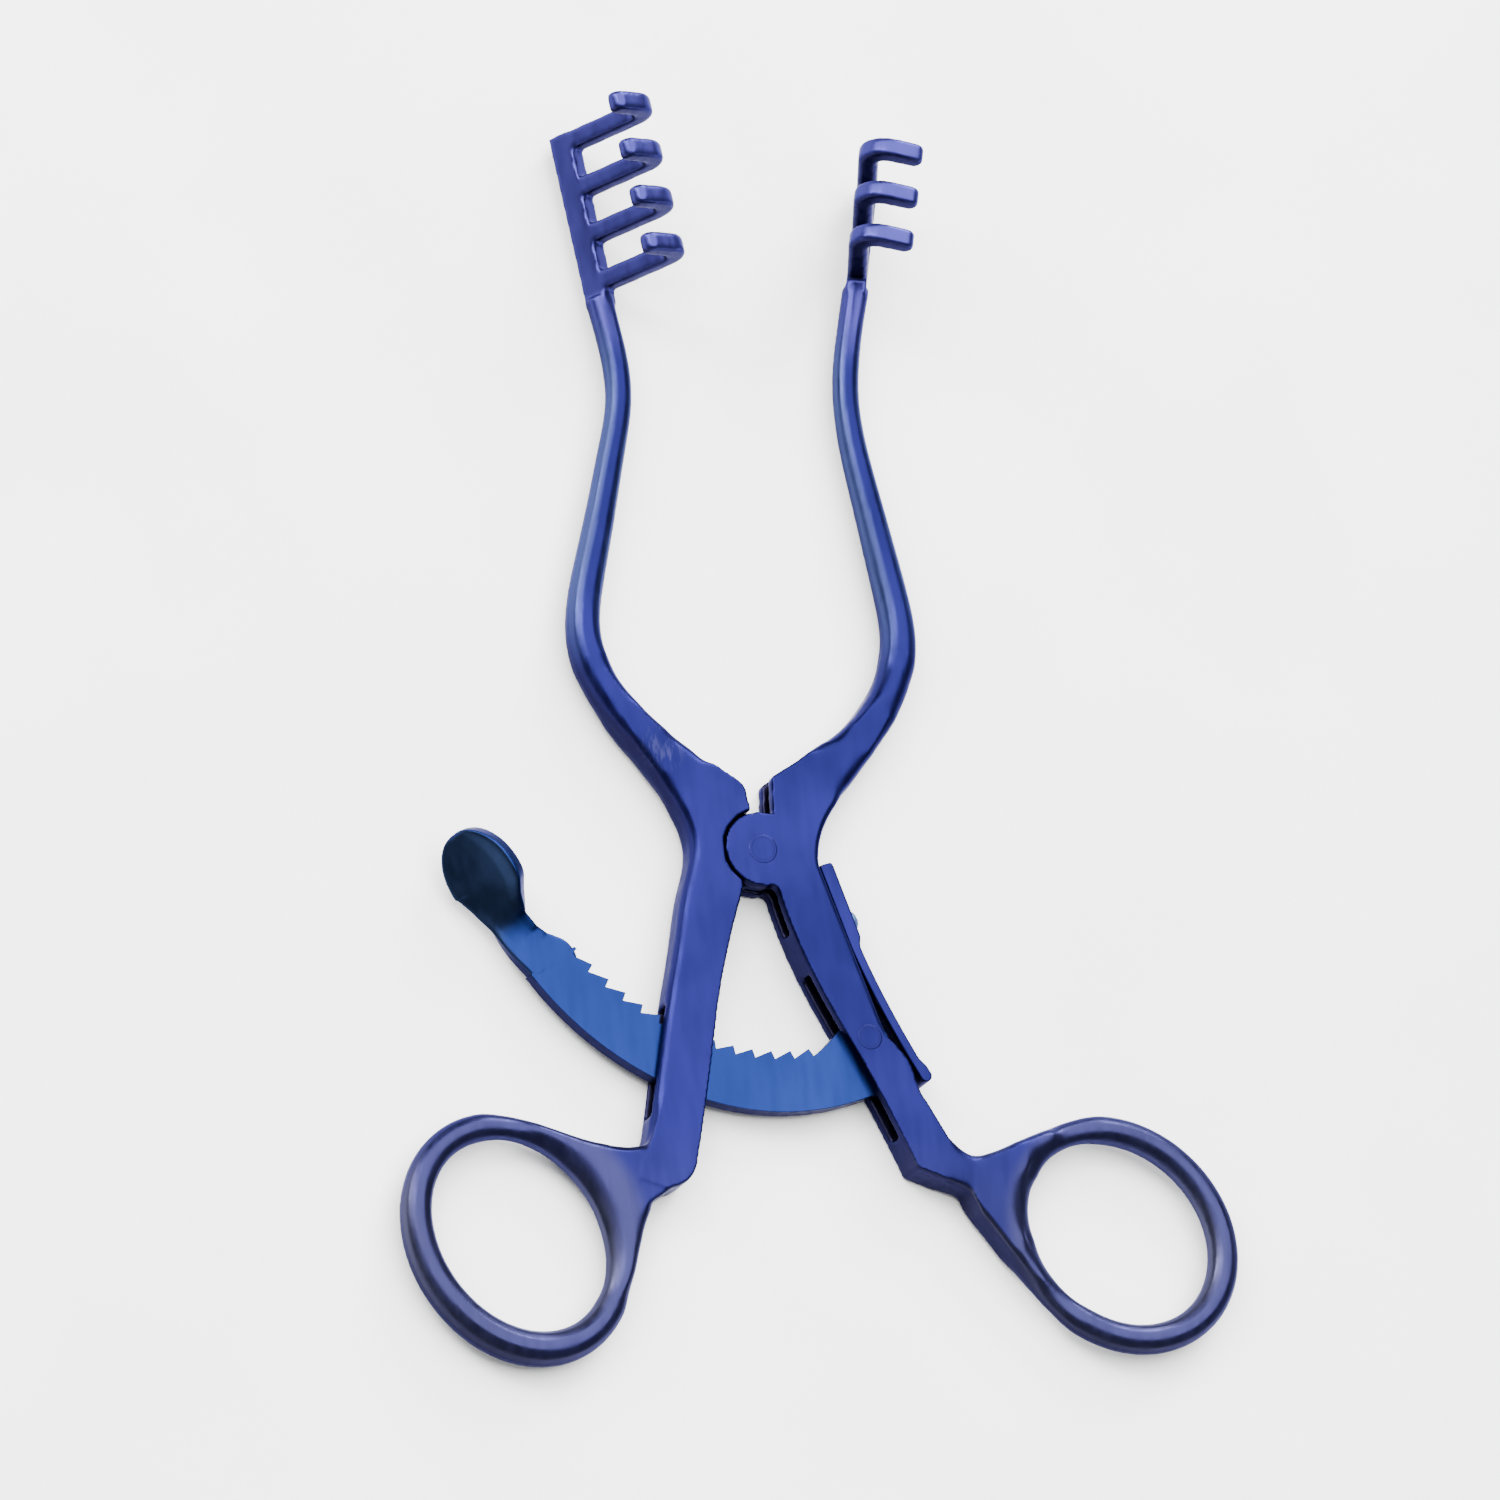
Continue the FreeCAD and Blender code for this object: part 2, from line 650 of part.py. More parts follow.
def make_paddle(end_angle):
    # a twisted neck grows out of the strip and carries the oval pad
    inner = tooth_tip_radius + bar_widening(end_angle)
    outer = bar_outer_radius + bar_widening(end_angle, bar_outer_rate)
    start = polar((inner + outer) / 2 + 0.3, end_angle - 4)
    first = Vector(start[0], start[1], mid_height)
    bend = Vector(-31.4, -8.6, mid_height)
    pad = Vector(-35.2, -3.1, mid_height + paddle_lift)
    heading = Vector(-0.49, 0.87, 0).normalize()
    last = pad - heading * (paddle_length * 0.26)
    steps = 5
    sections = []
    for step in range(steps + 1):
        share = step / steps
        place = first * (1 - share) ** 2 + bend * (2 * share * (1 - share)) + last * share ** 2
        along = (bend - first) * (1 - share) + (last - bend) * share
        eased = share * share * (3 - 2 * share)
        width = 5.9 + (neck_width - 5.9) * math.sin(math.pi * min(share * 1.1, 1)) + 0.4 * share
        sections.append(bar_section(place, along, width, bar_thickness * 0.97, 4,
                                    -paddle_twist * eased))
    neck = Part.makeLoft(sections, True, True)
    oval = Part.Ellipse(Vector(0, 0, 0), paddle_length / 2, paddle_width / 2).toShape()
    plate_blank = Part.Face(Part.Wire(oval)).extrude(Vector(0, 0, paddle_thickness))
    blank = bevel(plate_blank, paddle_rim_bevel, lambda x, y: True)
    blank.translate(Vector(0, 0, -paddle_thickness / 2))
    blank.rotate(Vector(0, 0, 0), Vector(1, 0, 0), -paddle_twist)
    blank.rotate(Vector(0, 0, 0), Vector(0, 0, 1), math.degrees(math.atan2(heading.y, heading.x)))
    blank.translate(pad)
    return neck.fuse(blank)


# Pins

def make_lock_pin():
    return disc(0, 0, lock_pin_diameter / 2, 0, arm_thickness)


def make_ratchet_pin():
    return disc(ratchet_pin_x, ratchet_pin_y, ratchet_pin_diameter / 2, 0, arm_thickness)


os.makedirs("parts", exist_ok=True)
makers = {
    "left_arm": make_left_arm,
    "right_arm": make_right_arm,
    "lock_pin": make_lock_pin,
    "ratchet_bar": make_bar,
    "ratchet_pin": make_ratchet_pin,
    "leaf_spring": make_spring,
    "spring_screw": make_screw,
}
for name, maker in makers.items():
    solid = maker()
    print(name, solid.ShapeType, len(solid.Solids), round(solid.Volume, 1), solid.isValid())
    solid.exportStep("parts/" + name + ".step")
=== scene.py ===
import json
import math

import bmesh
import bpy
import numpy as np
from mathutils import Matrix, Vector

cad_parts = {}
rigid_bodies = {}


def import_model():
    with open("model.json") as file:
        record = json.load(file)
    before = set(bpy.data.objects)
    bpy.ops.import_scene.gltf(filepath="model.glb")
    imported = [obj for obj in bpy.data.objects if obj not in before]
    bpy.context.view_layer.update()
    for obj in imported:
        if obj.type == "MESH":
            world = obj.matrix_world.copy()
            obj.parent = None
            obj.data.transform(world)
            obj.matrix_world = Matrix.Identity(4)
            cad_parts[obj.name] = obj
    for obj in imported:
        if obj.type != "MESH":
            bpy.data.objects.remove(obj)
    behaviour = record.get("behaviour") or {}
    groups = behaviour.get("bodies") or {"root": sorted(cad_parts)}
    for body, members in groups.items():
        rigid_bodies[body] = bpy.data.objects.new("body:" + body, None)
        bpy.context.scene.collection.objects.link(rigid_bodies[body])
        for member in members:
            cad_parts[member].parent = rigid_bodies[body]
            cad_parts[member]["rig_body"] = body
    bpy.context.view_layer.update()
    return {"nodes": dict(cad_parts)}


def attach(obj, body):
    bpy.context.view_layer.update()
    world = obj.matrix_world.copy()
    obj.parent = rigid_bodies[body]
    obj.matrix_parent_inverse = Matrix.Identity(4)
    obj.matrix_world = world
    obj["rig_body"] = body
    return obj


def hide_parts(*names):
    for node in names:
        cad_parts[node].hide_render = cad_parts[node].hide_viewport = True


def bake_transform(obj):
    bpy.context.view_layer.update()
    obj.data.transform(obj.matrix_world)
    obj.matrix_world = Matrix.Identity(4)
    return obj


mm = 0.001
armThickness = 5.2  # mm, both arms lie flat on the floor
midHeight = armThickness / 2
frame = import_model()
print("frame loaded")


# Small helpers for node materials. A step is a pair of values, between which a share rises
# smoothly from 0 to 1, or from the first to the second number of out

def newMaterial(name):
    material = bpy.data.materials.new(name)
    material.use_nodes = True
    tree = material.node_tree
    shader = tree.nodes["Principled BSDF"]
    coords = tree.nodes.new("ShaderNodeTexCoord")
    return material, tree, shader, coords.outputs["Object"]


def noise(tree, coords, scale, detail, stretch=(1, 1, 1)):
    mapping = tree.nodes.new("ShaderNodeMapping")
    mapping.inputs["Scale"].default_value = stretch
    tree.links.new(coords, mapping.inputs["Vector"])
    node = tree.nodes.new("ShaderNodeTexNoise")
    node.inputs["Scale"].default_value = scale
    node.inputs["Detail"].default_value = detail
    tree.links.new(mapping.outputs["Vector"], node.inputs["Vector"])
    return node.outputs["Fac"]


def ramp(tree, value, step, out=(0.0, 1.0)):
    node = tree.nodes.new("ShaderNodeMapRange")
    node.interpolation_type = "SMOOTHSTEP"
    for key, number in zip(("From Min", "From Max", "To Min", "To Max"), (*step, *out)):
        node.inputs[key].default_value = number
    tree.links.new(value, node.inputs["Value"])
    return node.outputs["Result"]


def blendColour(tree, share, first, second):
    # share is a socket, first and second are sockets or plain colours
    node = tree.nodes.new("ShaderNodeMix")
    node.data_type = "RGBA"
    tree.links.new(share, node.inputs["Factor"])
    for socket, colour in ((node.inputs["A"], first), (node.inputs["B"], second)):
        if isinstance(colour, tuple):
            socket.default_value = (*colour, 1.0)
        else:
            tree.links.new(colour, socket)
    return node.outputs["Result"]


def maths(tree, operation, *values):
    node = tree.nodes.new("ShaderNodeMath")
    node.operation = operation
    for socket, value in zip(node.inputs, values):
        if isinstance(value, (int, float)):
            socket.default_value = value
        else:
            tree.links.new(value, socket)
    return node.outputs[0]


def vectorMaths(tree, operation, vector, other):
    # other is a socket or a plain vector, the result is a number
    node = tree.nodes.new("ShaderNodeVectorMath")
    node.operation = operation
    tree.links.new(vector, node.inputs[0])
    if isinstance(other, tuple):
        node.inputs[1].default_value = other
    else:
        tree.links.new(other, node.inputs[1])
    return node.outputs["Value"]


def vectorParts(tree, vector):
    node = tree.nodes.new("ShaderNodeSeparateXYZ")
    tree.links.new(vector, node.inputs[0])
    return node.outputs


def nearPlace(tree, coords, place, zone):
    # the zone's share, by how far the surface is from the place
    return ramp(tree, vectorMaths(tree, "DISTANCE", coords, place), zone["step"], zone["out"])


def towardSide(tree, normal, zone):
    # the zone's share, by how squarely the surface faces the zone's side
    return ramp(tree, vectorMaths(tree, "DOT_PRODUCT", normal, zone["side"]), zone["step"],
                zone["out"])


# Anodised titanium: blue on the flat faces, purple grey where it was tumbled round

anodise = {
    "flatBlue": (0.0066, 0.0064, 0.052),
    "deepBlue": (0.0040, 0.0042, 0.034),
    "roundBlue": (0.0105, 0.0098, 0.060),
    "shaftGrey": (0.030, 0.040, 0.115),
    "ringGrey": (0.026, 0.026, 0.056),
    # painted highlight colour on the rings' upper left
    "ringPaintedHighlight": (0.052, 0.052, 0.078),
    "rakeBlue": (0.0230, 0.0210, 0.110),
    # painted shade colour
    "paintedShadeViolet": (0.0040, 0.0032, 0.0100),
    # painted shade colour in the slots and the joint's notch
    "slotShade": (0.0080, 0.0070, 0.0200),
    # lighter colour of worn anodise and of the painted edge highlight
    "wearAndEdgeHighlight": (0.060, 0.062, 0.150),
    "hairLine": (0.004, 0.004, 0.024),
    "barBlue": (0.0050, 0.0112, 0.060),
    "barLight": (0.0062, 0.0136, 0.070),
    "barSide": (0.0030, 0.0060, 0.026),
    # painted dark reflection colour of the pad's face
    "paddleDarkReflection": (0.0085, 0.0150, 0.0380),
    "screwBlue": (0.022, 0.060, 0.120),
    "screwLight": (0.040, 0.080, 0.150),
    "screwSide": (0.035, 0.065, 0.130),
    "metallic": 0.96,
    "specular": 0.5,
    "tint": (0.52, 0.52, 0.70, 1.0),
    "edgeRadius": 0.16 * mm,
    "edgeSamples": 6,
}

# scale, detail and stretch of each noise, and the step and the shares that it is used with
metalGrain = {
    "cloud": {"noise": (55.0, 3.0), "step": (0.34, 0.68)},
    "patches": {"noise": (420.0, 3.0), "step": (0.35, 0.75), "out": (0.10, 0.5)},
    "brushing": {"noise": (900.0, 5.0, (1.0, 0.16, 1.0)), "step": (0.3, 0.72),
                 "roughness": (0.28, 0.42), "height": 0.6},
    "specks": {"noise": (2600.0, 2.0), "height": 0.4},
    "strokes": {"noise": (3000.0, 2.0, (1.0, 0.16, 1.0)), "step": (0.48, 0.66),
                "out": (0.0, 0.13)},
    "bumpStrength": 0.12,
    "bumpDistance": 0.02 * mm,
}

# facing is 1 on level surfaces and 0 on upright ones, along is the place along y
metalZones = {
    "turned": {"facing": (0.97, 0.55), "out": (0.0, 0.7)},
    "edgeWearAndHighlight": (0.985, 0.86),
    "shaft": {"along": (20 * mm, 36 * mm), "facing": (0.99, 0.70), "out": (0.0, 0.85)},
    "rings": {"along": (-33 * mm, -45 * mm), "facing": (0.94, 0.70), "out": (0.10, 0.85)},
    # painted highlight: the side of the rings turned to the upper left
    "ringPaintedHighlight": {"side": (-0.80, 0.58, 0.15), "step": (0.15, 0.80), "out": (0.0, 0.8)},
    "ringPlaces": ((-35.1 * mm, -46.85 * mm, midHeight * mm),
                   (41.3 * mm, -47.85 * mm, midHeight * mm)),
    "nearRing": {"step": (16.5 * mm, 14.0 * mm), "out": (0.0, 0.45)},
    "insideRing": {"step": (12.0 * mm, 14.2 * mm), "out": (0.05, 1.0)},
    "rakes": (62 * mm, 72 * mm),
    # painted shade on the sides turned down and to the front
    "shaded": {"side": (-0.35, -0.75, -0.56), "step": (-0.05, 0.75), "out": (0.0, 0.85)},
    # painted shade on the walls turned to the right
    "rightWallShade": {"side": (0.95, -0.25, -0.18), "step": (0.62, 0.95), "out": (0.0, 0.8)},
    "aboveRings": (-25 * mm, -8 * mm),
    # painted dark reflection on the side the pad's face turns to
    "paddleReflectionSide": {"side": (-0.687, -0.387, 0.616), "step": (0.78, 0.95), "out": (0.0, 1.0)},
    "strokesPlace": (-11.5 * mm, 12.8 * mm, armThickness * mm),
    "strokes": {"step": (3.6 * mm, 1.4 * mm), "out": (0.0, 1.0)},
    "notchPlace": (0.6 * mm, 6.0 * mm, 2.4 * mm),
    "notch": {"step": (2.6 * mm, 2.0 * mm), "out": (0.0, 1.0)},
    "slotMiddle": -15.5 * mm,
    "slotLength": (27.5 * mm, 25.0 * mm),
    "slotReach": (21.5 * mm, 20.0 * mm),
    "slotDepth": (1.75 * mm, 1.45 * mm),
    "slotFacing": (0.3, 0.75),
    "pinLines": (((0.0, 0.0, armThickness * mm), 1.42 * mm),
                 ((10.96 * mm, -23.64 * mm, armThickness * mm), 1.17 * mm)),
    "pinLine": {"step": (0.13 * mm, 0.02 * mm), "out": (0.0, 0.5)},
}


def grain(tree, coords, name):
    return noise(tree, coords, *metalGrain[name]["noise"])


def roundedEdges(tree):
    # the rounded normal, the true one, and how far they agree: near 1 on a face, less on an edge
    bevel = tree.nodes.new("ShaderNodeBevel")
    bevel.samples = anodise["edgeSamples"]
    bevel.inputs["Radius"].default_value = anodise["edgeRadius"]
    rounded = bevel.outputs["Normal"]
    normal = tree.nodes.new("ShaderNodeNewGeometry").outputs["Normal"]
    return rounded, normal, vectorMaths(tree, "DOT_PRODUCT", rounded, normal)


def armFinish(tree, coords, normal, facing, colour):
    along = vectorParts(tree, coords)["Y"]
    places = metalZones["ringPlaces"]
    # the round shafts above the joint are paler than the ground flats, and the tumbled rings
    # are duller and greyer, with a painted highlight on their upper left
    light = towardSide(tree, normal, metalZones["ringPaintedHighlight"])
    ringColour = blendColour(tree, light, anodise["ringGrey"], anodise["ringPaintedHighlight"])
    for name, tone in (("shaft", anodise["shaftGrey"]), ("rings", ringColour)):
        zone = metalZones[name]
        share = maths(tree, "MULTIPLY", ramp(tree, along, zone["along"]),
                      ramp(tree, facing, zone["facing"], zone["out"]))
        colour = blendColour(tree, share, colour, tone)
    near = [nearPlace(tree, coords, place, metalZones["nearRing"]) for place in places]
    colour = blendColour(tree, maths(tree, "MAXIMUM", *near), colour, anodise["ringGrey"])
    # the rakes are paler
    return blendColour(tree, ramp(tree, along, metalZones["rakes"]), colour,
                       anodise["rakeBlue"])


def paintedShadeSides(tree, coords, normal, colour, isArm):
    # painted shade: darker on the sides turned down and to the front
    shaded = towardSide(tree, normal, metalZones["shaded"])
    if isArm:
        # the painted shade is lifted inside the rings
        for place in metalZones["ringPlaces"]:
            inner = nearPlace(tree, coords, place, metalZones["insideRing"])
            shaded = maths(tree, "MULTIPLY", shaded, inner)
    colour = blendColour(tree, shaded, colour, anodise["paintedShadeViolet"])
    if isArm:
        # painted shade on the walls turned to the right, above the rings
        right = towardSide(tree, normal, metalZones["rightWallShade"])
        above = ramp(tree, vectorParts(tree, coords)["Y"], metalZones["aboveRings"])
        colour = blendColour(tree, maths(tree, "MULTIPLY", right, above), colour,
                             anodise["paintedShadeViolet"])
    return colour


def armDetails(tree, coords, facing, colour):
    # short brush strokes where the left shank was touched up
    marks = nearPlace(tree, coords, metalZones["strokesPlace"], metalZones["strokes"])
    look = metalGrain["strokes"]
    lines = ramp(tree, grain(tree, coords, "strokes"), look["step"], look["out"])
    colour = blendColour(tree, maths(tree, "MULTIPLY", marks, lines), colour,
                         anodise["wearAndEdgeHighlight"])
    # painted shade on the floors of the slots, between the shank's two faces, and in the joint's
    # notch
    place = vectorParts(tree, coords)
    floor = ramp(tree, facing, metalZones["slotFacing"])
    middles = {"X": 0.0, "Y": metalZones["slotMiddle"], "Z": midHeight * mm}
    for axis, step in (("X", "slotReach"), ("Y", "slotLength"), ("Z", "slotDepth")):
        away = maths(tree, "ABSOLUTE", maths(tree, "SUBTRACT", place[axis], middles[axis]))
        floor = maths(tree, "MULTIPLY", floor, ramp(tree, away, metalZones[step]))
    notch = nearPlace(tree, coords, metalZones["notchPlace"], metalZones["notch"])
    return blendColour(tree, maths(tree, "MAXIMUM", floor, notch), colour,
                       anodise["slotShade"])


def pinHairLines(tree, coords, colour):
    # a hair line is left round each pin that was ground flush
    zone = metalZones["pinLine"]
    for place, radius in metalZones["pinLines"]:
        away = maths(tree, "SUBTRACT", vectorMaths(tree, "DISTANCE", coords, place), radius)
        line = ramp(tree, maths(tree, "ABSOLUTE", away), zone["step"], zone["out"])
        colour = blendColour(tree, line, colour, anodise["hairLine"])
    return colour


def brushedSurface(tree, coords, shader, rounded):
    # fine brushing along the part, in the roughness and with specks in the relief
    brushing, specks = metalGrain["brushing"], metalGrain["specks"]
    brushed, speck = (grain(tree, coords, name) for name in ("brushing", "specks"))
    roughness = ramp(tree, brushed, brushing["step"], brushing["roughness"])
    tree.links.new(roughness, shader.inputs["Roughness"])
    bump = tree.nodes.new("ShaderNodeBump")
    bump.inputs["Strength"].default_value = metalGrain["bumpStrength"]
    bump.inputs["Distance"].default_value = metalGrain["bumpDistance"]
    height = maths(tree, "ADD", maths(tree, "MULTIPLY", brushed, brushing["height"]),
                   maths(tree, "MULTIPLY", speck, specks["height"]))
    tree.links.new(height, bump.inputs["Height"])
    tree.links.new(rounded, bump.inputs["Normal"])
    tree.links.new(bump.outputs["Normal"], shader.inputs["Normal"])


def anodisedMetal(name, faceColour, faceShade, sideColour, isArm=False, isPaddle=False):
    # the names of three of the anodise colours, then the finishes, painted shade and painted
    # highlights laid over each other
    material, tree, shader, coords = newMaterial(name)
    rounded, normal, flatness = roundedEdges(tree)
    facing = maths(tree, "ABSOLUTE", vectorParts(tree, normal)["Z"])
    cloud = ramp(tree, grain(tree, coords, "cloud"), metalGrain["cloud"]["step"])
    colour = blendColour(tree, cloud, anodise[faceColour], anodise[faceShade])
    turned = metalZones["turned"]
    colour = blendColour(tree, ramp(tree, facing, turned["facing"], turned["out"]), colour,
                         anodise[sideColour])
    if isArm:
        colour = armFinish(tree, coords, normal, facing, colour)
    colour = paintedShadeSides(tree, coords, normal, colour, isArm)
    if isPaddle:
        # painted dark reflection on the pad's dished face
        colour = blendColour(tree, towardSide(tree, normal, metalZones["paddleReflectionSide"]), colour,
                             anodise["paddleDarkReflection"])
    if isArm:
        colour = armDetails(tree, coords, facing, colour)
    # lighter edges, in patches: worn anodise, and a painted edge highlight
    patches = metalGrain["patches"]
    patchy = ramp(tree, grain(tree, coords, "patches"), patches["step"], patches["out"])
    edgeWearAndHighlight = maths(tree, "MULTIPLY", ramp(tree, flatness, metalZones["edgeWearAndHighlight"]), patchy)
    colour = blendColour(tree, edgeWearAndHighlight, colour, anodise["wearAndEdgeHighlight"])
    if isArm:
        colour = pinHairLines(tree, coords, colour)
    tree.links.new(colour, shader.inputs["Base Color"])
    shader.inputs["Metallic"].default_value = anodise["metallic"]
    shader.inputs["Specular IOR Level"].default_value = anodise["specular"]
    shader.inputs["Specular Tint"].default_value = anodise["tint"]
    brushedSurface(tree, coords, shader, rounded)
    return material


armMetal = anodisedMetal("blueAnodisedArm", "flatBlue", "deepBlue", "roundBlue", isArm=True)
barMetal = anodisedMetal("lightAnodisedBar", "barBlue", "barLight", "barSide")
paddleMetal = anodisedMetal("paddleAnodised", "barBlue", "barLight", "barSide", isPaddle=True)
springMetal = anodisedMetal("springAnodised", "deepBlue", "flatBlue", "roundBlue")
screwMetal = anodisedMetal("screwMetal", "screwBlue", "screwLight", "screwSide")
print("materials made")


# Small helpers for meshes

def smoothStep(value):
    value = np.clip(value, 0.0, 1.0)
    return value * value * (3 - 2 * value)


def unit(vectors):
    return vectors / np.linalg.norm(vectors, axis=-1, keepdims=True)


def vertexValues(mesh, kind):
    values = np.empty(len(mesh.vertices) * 3)
    mesh.vertices.foreach_get(kind, values)
    return values.reshape(-1, 3)


def addObject(name, data):
    thing = bpy.data.objects.new(name, data)
    bpy.context.scene.collection.objects.link(thing)
    return thing


mergeSettings = {"weld": 0.002 * mm, "shortest": 0.0005 * mm}


def mergedMesh(nodeName):
    # a copy of the CAD mesh with its facets joined
    mesh = frame["nodes"][nodeName].data.copy()
    build = bmesh.new()
    build.from_mesh(mesh)
    bmesh.ops.remove_doubles(build, verts=build.verts, dist=mergeSettings["weld"])
    bmesh.ops.dissolve_degenerate(build, edges=build.edges, dist=mergeSettings["shortest"])
    build.to_mesh(mesh)
    build.free()
    mesh.materials.clear()
    return mesh


def placeCopy(name, mesh, material, nodeName):
    # the piece takes its node's place and body, and the node is hidden
    mesh.materials.append(material)
    piece = addObject(name, mesh)
    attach(piece, frame["nodes"][nodeName]["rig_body"])
    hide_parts(nodeName)
    return piece


# Forged arms: the CAD form taken through a fine even mesh, its edges eased as by tumbling.
# Each blend is a crease between two forms that melts: x, y and reach in mm

forgedArms = {
    "left_arm": {
        "copy": "leftArmForged",
        "blends": ((-8.0, 12.9, 4.0), (-12.6, 9.8, 5.5), (-17.5, 20.5, 4.5),
                   (-33.0, -33.6, 6.0), (-22.6, -51.2, 5.5), (-29.5, -37.8, 5.5),
                   (-25.5, -42.5, 4.5), (-22.5, -46.5, 4.0), (-29.7, -36.3, 6.0),
                   (-26.1, -41.2, 5.5)),
    },
    "right_arm": {
        "copy": "rightArmForged",
        "blends": ((10.8, 14.1, 4.0), (12.9, 9.4, 4.5), (20.2, 21.0, 4.5),
                   (34.5, -34.8, 5.5), (29.2, -54.4, 5.5), (29.8, -44.5, 4.5),
                   (21.6, -39.6, 3.6), (34.6, -35.7, 6.5), (30.9, -54.3, 6.5)),
    },
}
forging = {
    "grain": 0.26 * mm,
    "easing": 5,
    "easingShare": 0.5,
    "blendRounds": 64,
    "blendShare": 0.6,
    "blendSteepness": 1.6,
    "coat": 0.14 * mm,
    "coatStart": (13 * mm, 21 * mm),
    "coatEnd": (70 * mm, 62 * mm),
}


def blendSpots(mesh, spots):
    # near each spot every point moves again and again towards the mean of its neighbours,
    # by a share that falls smoothly to nothing at the spot's reach, so that creases melt
    points = vertexValues(mesh, "co")
    count = len(points)
    ends = np.empty(len(mesh.edges) * 2, dtype=np.int64)
    mesh.edges.foreach_get("vertices", ends)
    first, second = ends.reshape(-1, 2).T
    degree = np.bincount(ends, minlength=count)[:, None]
    weight = np.zeros(count)
    for x, y, reach in spots:
        away = np.hypot(points[:, 0] / mm - x, points[:, 1] / mm - y)
        near = smoothStep(forging["blendSteepness"] * (1 - away / reach))
        weight = np.maximum(weight, near)
    for step in range(forging["blendRounds"]):
        total = np.stack([np.bincount(first, points[second, axis], count)
                          + np.bincount(second, points[first, axis], count)
                          for axis in range(3)], axis=-1)
        points = points + (total / degree - points) * weight[:, None] * forging["blendShare"]
    mesh.vertices.foreach_set("co", points.ravel())


def coatShaft(mesh):
    # the coat fills the shaft: each point moves out along its normal by the coat's thickness,
    # times a smooth step up from the root and one down before the rake
    points, normals = vertexValues(mesh, "co"), vertexValues(mesh, "normal")
    normals[:, 2] = np.maximum(normals[:, 2], 0.0)  # the underside stays on the floor
    share = 1.0
    for low, high in (forging["coatStart"], forging["coatEnd"]):
        share = share * smoothStep((points[:, 1] - low) / (high - low))
    points = points + normals * (share * forging["coat"])[:, None]
    mesh.vertices.foreach_set("co", points.ravel())


def forgeArm(nodeName, look):
    rough = addObject("roughForm", mergedMesh(nodeName))
    even = rough.modifiers.new("even", "REMESH")
    even.mode = "VOXEL"
    even.voxel_size = forging["grain"]
    ease = rough.modifiers.new("ease", "SMOOTH")
    ease.factor = forging["easingShare"]
    ease.iterations = forging["easing"]
    graph = bpy.context.evaluated_depsgraph_get()
    mesh = bpy.data.meshes.new_from_object(rough.evaluated_get(graph))
    bpy.data.objects.remove(rough)
    mesh.name = look["copy"]
    blendSpots(mesh, look["blends"])
    coatShaft(mesh)
    mesh.shade_smooth()
    return placeCopy(look["copy"], mesh, armMetal, nodeName)


for nodeName, look in forgedArms.items():
    forged = forgeArm(nodeName, look)
    print(forged.name, len(forged.data.polygons), "faces")


# Cut and turned parts: a merged copy with smooth faces and sharp corners

cutParts = {
    "spring_screw": {"copy": "springScrewDomed", "material": screwMetal, "corner": 30.0},
    "ratchet_bar": {"copy": "ratchetBarCut", "material": barMetal, "corner": 28.0,
                    "endPlace": (-28.14, -13.76), "endHeading": (-0.503, 0.864)},
}


def cutEnd(mesh, place, heading):
    # the strip stops where the thumb paddle's own surface takes over
    build = bmesh.new()
    build.from_mesh(mesh)
    whole = build.verts[:] + build.edges[:] + build.faces[:]
    cut = bmesh.ops.bisect_plane(build, geom=whole, plane_co=Vector((*place, 0)) * mm,
                                 plane_no=Vector((*heading, 0)), clear_outer=True)
    rim = [part for part in cut["geom_cut"] if isinstance(part, bmesh.types.BMEdge)]
    bmesh.ops.holes_fill(build, edges=rim, sides=0)
    build.to_mesh(mesh)
    build.free()


def cutCopy(nodeName, look):
    mesh = mergedMesh(nodeName)
    if "endPlace" in look:
        cutEnd(mesh, look["endPlace"], look["endHeading"])
    mesh.shade_smooth()
    mesh.set_sharp_from_angle(angle=math.radians(look["corner"]))
    piece = placeCopy(look["copy"], mesh, look["material"], nodeName)
    weigh = piece.modifiers.new("weigh", "WEIGHTED_NORMAL")
    weigh.keep_sharp = True


for nodeName, look in cutParts.items():
    cutCopy(nodeName, look)
print("bar and screw dressed")


# Grids of points made into closed surfaces

def gridPiece(name, points, material, body, corner=40.0):
    # points has the shape (along, around, 3): rows are closed rings, the two ends get caps
    rows, around = points.shape[:2]
    ends = np.stack([points[0].mean(axis=0), points[-1].mean(axis=0)])
    verts = np.concatenate([points.reshape(-1, 3), ends])
    row, column = np.meshgrid(np.arange(rows - 1), np.arange(around), indexing="ij")
    following = (column + 1) % around
    quads = np.stack([row * around + column, row * around + following,
                      (row + 1) * around + following, (row + 1) * around + column], axis=-1)
    ring = np.arange(around)
    nextRing = (ring + 1) % around
    last = (rows - 1) * around
    middle = np.full(around, rows * around)
    capLow = np.stack([nextRing, ring, middle], axis=-1)
    capHigh = np.stack([last + ring, last + nextRing, middle + 1], axis=-1)
    faces = quads.reshape(-1, 4).tolist() + capLow.tolist() + capHigh.tolist()
    mesh = bpy.data.meshes.new(name)
    mesh.from_pydata(verts.tolist(), [], faces)
    build = bmesh.new()
    build.from_mesh(mesh)
    bmesh.ops.recalc_face_normals(build, faces=build.faces)
    build.to_mesh(mesh)
    build.free()
    mesh.materials.append(material)
    mesh.shade_smooth()
    mesh.set_sharp_from_angle(angle=math.radians(corner))
    piece = addObject(name, mesh)
    if body:
        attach(piece, body)
    return piece


